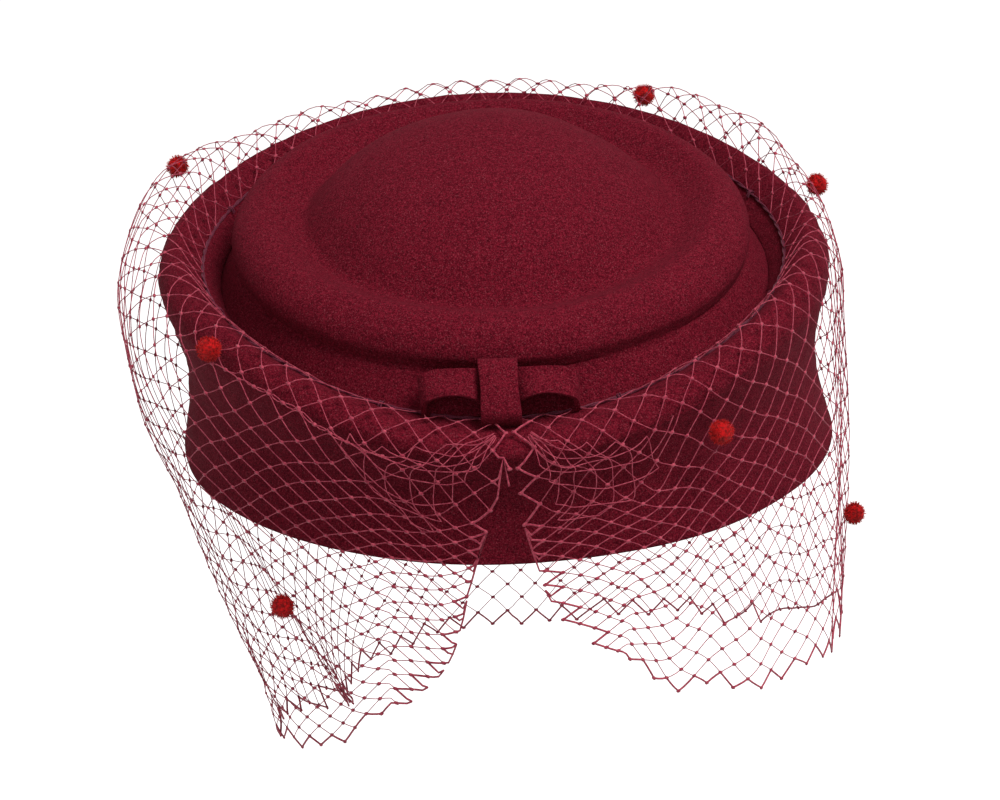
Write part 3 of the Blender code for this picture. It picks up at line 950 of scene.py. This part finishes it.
def knot_shape(bm, place, beside, below):
    """A small lozenge on a crossing, wider along the rim than down."""
    right = (beside - place).normalized()
    out = right.cross(below - place).normalized()
    down = out.cross(right)
    sides = [way * half for way, half in zip((right, down, out), KNOT_HALF)]
    frame_of = Matrix(sides).transposed().to_4x4()
    bmesh.ops.create_icosphere(
        bm, subdivisions=1, radius=1, matrix=Matrix.Translation(place) @ frame_of
    )


NODES = {
    "left": ["veil_front_left", "veil_yoke_left"],
    "right": ["veil_front_right", "veil_yoke_right"],
    "back": ["veil_back", "veil_left_side", "veil_right_side"],
}
for part in ("left", "right", "back"):
    body = "root" if part == "back" else None
    inner = tubes(
        f"net_threads_{part}", fine[part], NET_THREAD_R, net_thread, body, NODES[part]
    )
    selvedge = tubes(f"net_selvedge_{part}", edging[part], SELVEDGE_R, net_thread, body)
    bm = bmesh.new()
    for u, v in knots[part]:
        knot_shape(bm, hang(u, v), hang(u + 0.001, v), hang(u, v + 0.001))
    tied = piece(f"net_knots_{part}", bm, net_thread, body)
    if part != "back":
        side = -1 if part == "left" else 1
        away = Vector((side * 0.4288, -0.7427, -0.5146))
        for obj in (inner, selvedge, tied):
            start, end = away * BEND_FROM, away * BEND_TO
            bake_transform(obj)
    print(part, len(fine[part]), "inner threads,", len(edging[part]), "edge threads")

# %% [markdown]
# ## Chenille dots
#
# A chenille dot is a tuft of short fibres round a tight middle. Each one here is a small core and
# several hundred tapered fibres, all a little different. The fibres' outer ends are painted pale,
# a painted sheen that lights each dot's outline.

# %% Make the dots
dot_red, dot_shader, s = finish("red chenille", "red_chenille", 0.85, 0.15, (1.0, 0.25, 0.25))
tuft = s.noise(900, 3.0)
from_middle = s.node("ShaderNodeUVMap", uv_map="from_middle")
outward = s.node("ShaderNodeSeparateXYZ", {"Vector": from_middle})
# the fibres' outer ends are painted pale pink: painted sheen round each dot's outline
painted_tip_sheen = outward.clamped(0.84, 1.06)
red = tuft.clamped(0.35, 0.66).mix((0.20, 0.0010, 0.0015), (0.70, 0.004, 0.006))
use(s, dot_shader, Base_Color=(painted_tip_sheen * 0.75).mix(red, (0.85, 0.060, 0.050)))


DOT_CORE_R = 0.0038
DOT_R = 0.0049  # to the fibres' ends, where the painted sheen is
DOT_FIBRES = 800
DOT_SAG = (0, 0, -0.002)  # the net hangs a little lower than its solid
DOT_SHIFTS = {  # dots that lie a few millimetres from their solids
    1: (-0.0020, 0, -0.0060),
    4: (0.0075, 0, 0.0060),
    5: (-0.0035, 0, -0.0040),
    7: (0.0045, 0, 0.0050),
}


def on_net(place):
    """The nearest point of the hung net to a place, and the net's outward direction there."""
    turn = math.degrees(math.atan2(place.x, -place.y))
    middle = VEIL_R * math.radians((turn if turn > 0 else turn + 360) - SPLIT_DEG - SPLIT_AT_DEG)
    tries = [(middle + k * 0.002, m * 0.002) for k in range(-5, 6) for m in range(5, 125)]
    u, v = min(tries, key=lambda uv: (hang(*uv) - place).length)
    here, beside, below = hang(u, v), hang(u + 0.002, v), hang(u, v + 0.002)
    out = (beside - here).cross(below - here).normalized()
    return here, out if out.dot(direction(turn)) > 0 else -out


for number in range(1, 13):
    node = f"chenille_dot_{number:02d}"
    low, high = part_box(node)
    here, out = on_net((low + high) / 2 + Vector(DOT_SHIFTS.get(number, DOT_SAG)))
    middle = here + out * DOT_CORE_R
    rng = random.Random(number)
    bm = bmesh.new()
    bmesh.ops.create_icosphere(
        bm, subdivisions=3, radius=DOT_CORE_R, matrix=Matrix.Translation(middle)
    )
    for _ in range(DOT_FIBRES):
        way = Vector((rng.gauss(0, 1), rng.gauss(0, 1), rng.gauss(0, 1))).normalized()
        way = (way - out * way.dot(out) * 0.25).normalized()
        root = middle + way * 0.0022
        leaning = way + Vector((rng.gauss(0, 1), rng.gauss(0, 1), rng.gauss(0, 1))) * 0.20
        long = rng.uniform(0.0018, 0.0028)
        turn = leaning.to_track_quat("Z", "Y").to_matrix().to_4x4()
        bmesh.ops.create_cone(
            bm, segments=3, radius1=0.00019, radius2=0.00005, depth=long,
            matrix=Matrix.Translation(root + leaning.normalized() * long / 2) @ turn,
        )
    distance = bm.loops.layers.uv.new("from_middle")
    for face in bm.faces:
        for loop in face.loops:
            loop[distance].uv = ((loop.vert.co - middle).length / DOT_R, 0.5)
    body = "veil_left_half" if number == 7 else "root"
    piece(f"chenille_{number:02d}", bm, dot_red, body, [node], smooth=False)
print("12 dots")

# %% [markdown]
# ## Studio
#
# A pale floor well below the hat, a big soft light from the upper right and a weak one from the
# left, and a white surround.

# %% Floor, light and camera
floor_paint = bpy.data.materials.new("pale floor")
floor_paint.use_nodes = True
floor_shader = floor_paint.node_tree.nodes["Principled BSDF"]
floor_shader.inputs["Base Color"].default_value = (0.93, 0.93, 0.93, 1)
floor_shader.inputs["Roughness"].default_value = 0.9
floor_shader.inputs["Emission Color"].default_value = (1, 1, 1, 1)
floor_shader.inputs["Emission Strength"].default_value = 0.55
bpy.ops.mesh.primitive_plane_add(size=16, location=(0, 0, -0.40))
floor = bpy.context.object
floor.name = "floor"
floor.visible_diffuse = False  # a white floor this close would light the brim from below
floor.data.materials.append(floor_paint)
floor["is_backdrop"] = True

scene = bpy.context.scene
scene.view_settings.view_transform = "Standard"
scene.world = bpy.data.worlds.new("white surround")
scene.world.use_nodes = True
surround = scene.world.node_tree.nodes["Background"]
surround.inputs["Color"].default_value = (1, 1, 1, 1)
surround.inputs["Strength"].default_value = 0.38


def soft_light(name, place, size, power):
    light = bpy.data.lights.new(name, "AREA")
    light.shape, light.size, light.energy = "DISK", size, power
    obj = bpy.data.objects.new(name, light)
    obj.location = place
    obj.rotation_euler = (Vector((0, 0, 0)) - Vector(place)).to_track_quat("-Z", "Y").to_euler()
    scene.collection.objects.link(obj)


soft_light("key light", (1.0, -0.7, 2.1), 1.3, 46)
soft_light("fill light", (-1.6, -1.2, 0.8), 1.3, 3)

camera = bpy.data.objects.new("camera", bpy.data.cameras.new("camera"))
camera.data.lens = 123
camera.data.sensor_width = 36
elevation, roll, far_away = math.radians(22), math.radians(1.8), 1.3
back = Vector((0, -math.cos(elevation), math.sin(elevation)))
aim = Vector((-0.0027, 0.0043, 0.0106))
turn = (-back).to_track_quat("-Z", "Y").to_matrix().to_4x4() @ Matrix.Rotation(-roll, 4, "Z")
camera.matrix_world = Matrix.Translation(aim + back * far_away) @ turn
scene.collection.objects.link(camera)
scene.camera = camera

# %% Measure and finish
low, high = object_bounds()
print("shown", [round(v * 1000, 1) for v in low], [round(v * 1000, 1) for v in high])
